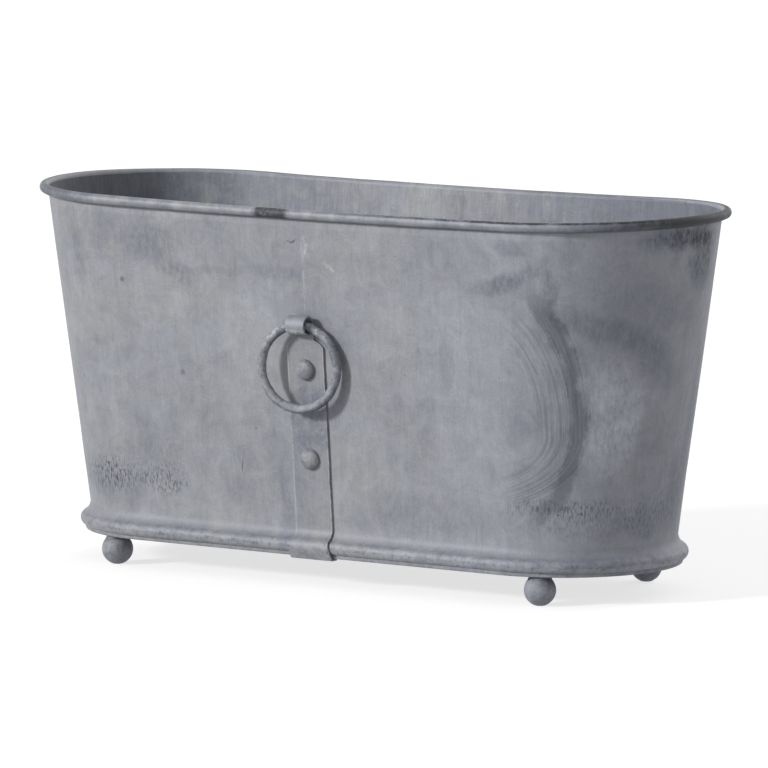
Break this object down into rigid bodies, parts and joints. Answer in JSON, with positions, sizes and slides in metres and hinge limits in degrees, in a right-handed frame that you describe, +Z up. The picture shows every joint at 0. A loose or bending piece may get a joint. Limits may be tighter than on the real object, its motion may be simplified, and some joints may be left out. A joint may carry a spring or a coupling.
{
  "type": "oval trough planter",
  "caption": "Oval sheet-zinc trough planter with tapered walls, rolled rim, base bead, ball feet and a hanging ring on a riveted strap on each long side.",
  "frame": {"origin": "on the ground, under the middle of the trough", "axes": "+X along the trough's length towards its right end, -Y towards the side that the picture shows, +Z up"},
  "size_m": [0.605, 0.2392, 0.2999],
  "materials": {
    "wall_zinc": "aged zinc sheet, matt, brush-smeared",
    "base_zinc": "aged zinc, darker and pitted",
    "strap_zinc": "aged zinc, matt",
    "ring_iron": "forged bar, aged zinc coat",
    "bright_steel": "plain zinc-plated steel"
  },
  "bodies": {
    "tub": {"wall_left": "wall_zinc", "wall_right": "wall_zinc", "rim_wire": "bright_steel", "floor_pan": "base_zinc", "foot_ball_front_left": "base_zinc", "foot_ball_front_right": "base_zinc", "foot_ball_back_left": "base_zinc", "foot_ball_back_right": "base_zinc", "foot_collar_front_left": "base_zinc", "foot_collar_front_right": "base_zinc", "foot_collar_back_left": "base_zinc", "foot_collar_back_right": "base_zinc", "foot_stud_front_left": "bright_steel", "foot_stud_front_right": "bright_steel", "foot_stud_back_left": "bright_steel", "foot_stud_back_right": "bright_steel", "foot_washer_front_left": "bright_steel", "foot_washer_front_right": "bright_steel", "foot_washer_back_left": "bright_steel", "foot_washer_back_right": "bright_steel", "foot_nut_front_left": "bright_steel", "foot_nut_front_right": "bright_steel", "foot_nut_back_left": "bright_steel", "foot_nut_back_right": "bright_steel", "front_strap": "strap_zinc", "back_strap": "strap_zinc", "front_rivet_upper": "strap_zinc", "front_rivet_lower": "strap_zinc", "back_rivet_upper": "strap_zinc", "back_rivet_lower": "strap_zinc", "front_burr_upper": "bright_steel", "front_burr_lower": "bright_steel", "back_burr_upper": "bright_steel", "back_burr_lower": "bright_steel"},
    "front_ring": {"front_ring": "ring_iron"},
    "back_ring": {"back_ring": "ring_iron"}
  },
  "joints": [
    {"name": "front_ring_swing", "type": "hinge", "parent": "tub", "child": "front_ring", "pos_m": [0, -0.11156, 0.2065], "axis": [-1, 0, 0], "range_deg": [-3.5, 173]},
    {"name": "back_ring_swing", "type": "hinge", "parent": "tub", "child": "back_ring", "pos_m": [0, 0.11156, 0.2065], "axis": [1, 0, 0], "range_deg": [-3.5, 173]}
  ]
}
